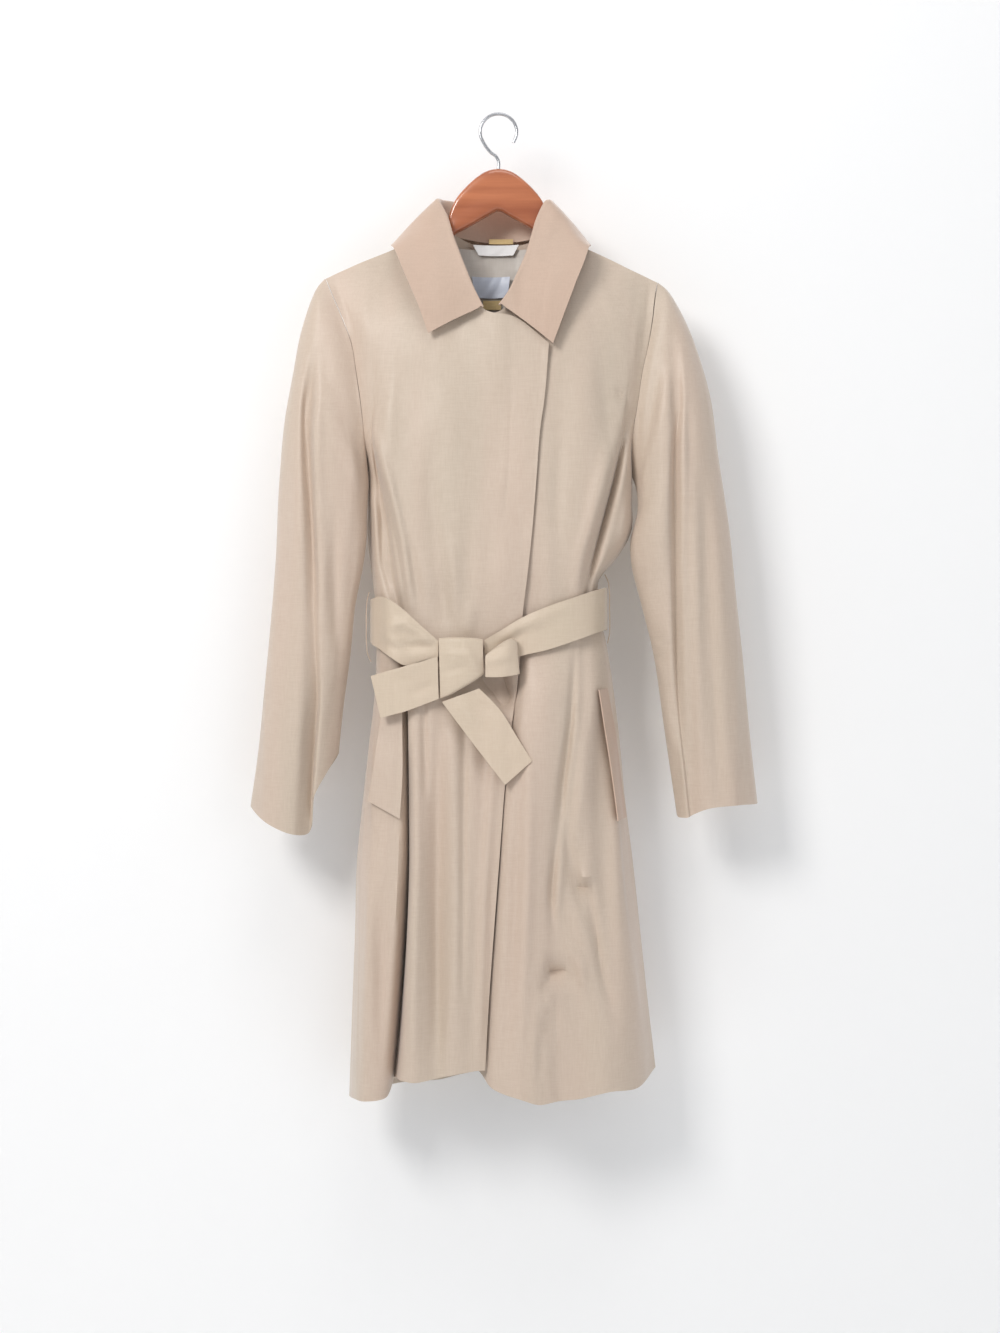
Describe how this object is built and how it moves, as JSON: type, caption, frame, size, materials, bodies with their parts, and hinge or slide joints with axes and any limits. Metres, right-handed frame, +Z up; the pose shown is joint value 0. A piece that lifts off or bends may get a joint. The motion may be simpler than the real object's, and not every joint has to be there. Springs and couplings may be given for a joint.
{
  "type": "wrap coat on a wooden hanger",
  "caption": "Light belted wrap coat with a pointed collar and long sleeves, hanging by a wooden hanger's hook, the belt tied in front.",
  "frame": {"origin": "inside top of the hanger's hook, where it rests on a rail", "axes": "+Z up along the hang, -Y out of the coat's front, +X to the wearer's left"},
  "size_m": [0.5853, 0.1298, 1.1338],
  "materials": {
    "coat_cloth": "lightweight shot taffeta, fine weave, soft sheen",
    "collar_cloth": "the same taffeta on the other grain, pinker",
    "lining_cloth": "thin crinkled lining, slight sheen",
    "white_tape": "plain white woven tape, bare",
    "satin_label": "blue-grey satin, bare",
    "loop_tape": "yellowish tan woven tape",
    "wood": "orange-brown lacquered wood, glossy",
    "metal": "polished nickel-plated steel wire"
  },
  "bodies": {
    "root": {"back": "coat_cloth", "front_right": "coat_cloth", "front_left": "coat_cloth", "sleeve_right": "coat_cloth", "sleeve_left": "coat_cloth", "collar": "collar_cloth", "pocket_welt_right": "coat_cloth", "pocket_welt_left": "coat_cloth", "belt_side_left": "coat_cloth", "belt_back": "coat_cloth", "belt_side_right": "coat_cloth", "belt_knot": "coat_cloth", "belt_tail_side": "coat_cloth", "belt_tail_down": "coat_cloth", "belt_bow_loop": "coat_cloth", "lining_neck": "lining_cloth", "neck_tape": "white_tape", "label_satin": "satin_label", "neck_tab": "loop_tape", "hanging_loop": "loop_tape", "hanger_body": "wood", "hanger_hook": "metal", "thread_loop_right": "coat_cloth", "thread_loop_left": "coat_cloth"}
  },
  "joints": []
}
